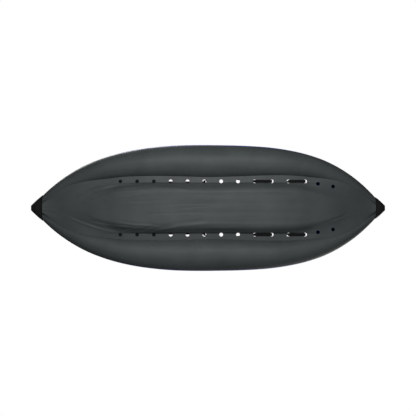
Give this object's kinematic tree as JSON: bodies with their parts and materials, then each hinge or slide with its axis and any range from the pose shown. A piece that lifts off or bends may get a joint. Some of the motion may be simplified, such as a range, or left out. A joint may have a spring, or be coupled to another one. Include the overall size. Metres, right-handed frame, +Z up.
{
  "type": "inflatable kayak",
  "caption": "Self-bailing inflatable solo kayak with two side tubes, a drained floor, black end caps, a folding seat and a sliding foot brace.",
  "frame": {"origin": "on the ground under the middle of the boat's box", "axes": "+X towards the bow, +Y to port, +Z up"},
  "size_m": [2.9, 1.024, 0.5058],
  "materials": {
    "blue_fabric": "satin",
    "grey_fabric": "satin",
    "web_fabric": "matte",
    "black_fabric": "matte",
    "webbing": "matte",
    "seat_foam": "matte",
    "black_rubber": "matte",
    "black_plastic": "satin",
    "steel": "satin"
  },
  "bodies": {
    "hull": {"port_lower_skin": "grey_fabric", "port_upper_skin": "blue_fabric", "starboard_lower_skin": "grey_fabric", "starboard_upper_skin": "blue_fabric", "bottom_sheet": "grey_fabric", "floor_mattress": "grey_fabric", "floor_webs": "web_fabric", "bow_cap": "black_rubber", "stern_cap": "black_rubber", "bow_deck": "grey_fabric", "stern_deck": "grey_fabric", "port_valve_base": "black_plastic", "starboard_valve_base": "black_plastic", "floor_valve_base": "black_plastic", "port_valve_spring": "steel", "starboard_valve_spring": "steel", "floor_valve_spring": "steel", "port_front_ring_patch": "black_fabric", "port_rear_ring_patch": "black_fabric", "starboard_front_ring_patch": "black_fabric", "starboard_rear_ring_patch": "black_fabric", "bow_handle_anchor": "black_fabric", "stern_handle_anchor": "black_fabric", "floor_loops": "webbing", "port_foot_flap": "black_fabric", "starboard_foot_flap": "black_fabric", "adjuster_straps": "webbing", "seat_base": "seat_foam", "port_front_stay": "webbing", "port_stay_anchor": "black_fabric", "port_cam_buckle": "black_plastic", "port_rear_stay": "webbing", "starboard_front_stay": "webbing", "starboard_stay_anchor": "black_fabric", "starboard_cam_buckle": "black_plastic", "starboard_rear_stay": "webbing"},
    "port_cap": {"port_valve_cap": "black_plastic"},
    "port_plunger": {"port_valve_plunger": "black_plastic"},
    "starboard_cap": {"starboard_valve_cap": "black_plastic"},
    "starboard_plunger": {"starboard_valve_plunger": "black_plastic"},
    "floor_cap": {"floor_valve_cap": "black_plastic"},
    "floor_plunger": {"floor_valve_plunger": "black_plastic"},
    "port_front_ring": {"port_front_ring": "steel"},
    "starboard_front_ring": {"starboard_front_ring": "steel"},
    "port_rear_ring": {"port_rear_ring": "steel"},
    "starboard_rear_ring": {"starboard_rear_ring": "steel"},
    "bow_handle": {"bow_handle": "webbing", "bow_handle_grip": "black_rubber"},
    "stern_handle": {"stern_handle": "webbing", "stern_handle_grip": "black_rubber"},
    "foot_brace": {"foot_brace": "black_fabric", "brace_tabs": "webbing"},
    "seat_back": {"seat_back": "seat_foam", "back_board": "black_plastic"},
    "port_lever": {"port_cam_lever": "black_plastic"},
    "starboard_lever": {"starboard_cam_lever": "black_plastic"}
  },
  "joints": [
    {"name": "port_valve_cap_lift", "type": "slide", "parent": "hull", "child": "port_cap", "axis": [0.0103, 0, 0.9999], "range_m": [0, 0.04]},
    {"name": "port_valve_plunger_press", "type": "slide", "parent": "hull", "child": "port_plunger", "axis": [-0.0103, 0, -0.9999], "range_m": [0, 0.003], "stiffness_N_per_m": 300, "springref_m": -0.002, "deforming": ["port_valve_spring"]},
    {"name": "starboard_valve_cap_lift", "type": "slide", "parent": "hull", "child": "starboard_cap", "axis": [0.0103, 0, 0.9999], "range_m": [0, 0.04]},
    {"name": "starboard_valve_plunger_press", "type": "slide", "parent": "hull", "child": "starboard_plunger", "axis": [-0.0103, 0, -0.9999], "range_m": [0, 0.003], "stiffness_N_per_m": 300, "springref_m": -0.002, "deforming": ["starboard_valve_spring"]},
    {"name": "floor_valve_cap_lift", "type": "slide", "parent": "hull", "child": "floor_cap", "axis": [0.1056, 0, 0.9944], "range_m": [0, 0.04]},
    {"name": "floor_valve_plunger_press", "type": "slide", "parent": "hull", "child": "floor_plunger", "axis": [-0.1056, 0, -0.9944], "range_m": [0, 0.003], "stiffness_N_per_m": 300, "springref_m": -0.002, "deforming": ["floor_valve_spring"]},
    {"name": "port_front_ring_swing", "type": "hinge", "parent": "hull", "child": "port_front_ring", "pos_m": [0.61982, 0.27701, 0.22654], "axis": [-0.9975, 0.0673, 0.0221], "range_deg": [0, 170]},
    {"name": "starboard_front_ring_swing", "type": "hinge", "parent": "hull", "child": "starboard_front_ring", "pos_m": [0.61982, -0.27701, 0.22654], "axis": [0.9975, 0.0673, -0.0221], "range_deg": [0, 170]},
    {"name": "port_rear_ring_swing", "type": "hinge", "parent": "hull", "child": "port_rear_ring", "pos_m": [-0.76944, 0.27481, 0.22589], "axis": [-0.9934, -0.1134, 0.0144], "range_deg": [0, 170]},
    {"name": "starboard_rear_ring_swing", "type": "hinge", "parent": "hull", "child": "starboard_rear_ring", "pos_m": [-0.76944, -0.27481, 0.22589], "axis": [0.9934, -0.1134, -0.0144], "range_deg": [0, 170]},
    {"name": "bow_handle_swing", "type": "hinge", "parent": "hull", "child": "bow_handle", "pos_m": [1.16, 0, 0.27675], "axis": [0, 1, 0], "range_deg": [0, 140]},
    {"name": "stern_handle_swing", "type": "hinge", "parent": "hull", "child": "stern_handle", "pos_m": [-1.188, 0, 0.28028], "axis": [0, -1, 0], "range_deg": [0, 140]},
    {"name": "foot_brace_slide", "type": "slide", "parent": "hull", "child": "foot_brace", "axis": [0.9989, 0, 0.0477], "range_m": [-0.06, 0.06]},
    {"name": "seat_back_fold", "type": "hinge", "parent": "hull", "child": "seat_back", "pos_m": [-0.455, 0, 0.19801], "axis": [0, 1, 0], "range_deg": [0, 98], "deforming": ["port_front_stay", "port_rear_stay", "starboard_front_stay", "starboard_rear_stay"]},
    {"name": "port_cam_lever_lift", "type": "hinge", "parent": "hull", "child": "port_lever", "pos_m": [-0.05552, 0.26133, 0.28533], "axis": [-0.0701, -0.7426, -0.6661], "range_deg": [0, 60]},
    {"name": "starboard_cam_lever_lift", "type": "hinge", "parent": "hull", "child": "starboard_lever", "pos_m": [-0.05552, -0.26133, 0.28533], "axis": [0.0701, -0.7426, 0.6661], "range_deg": [0, 60]}
  ]
}
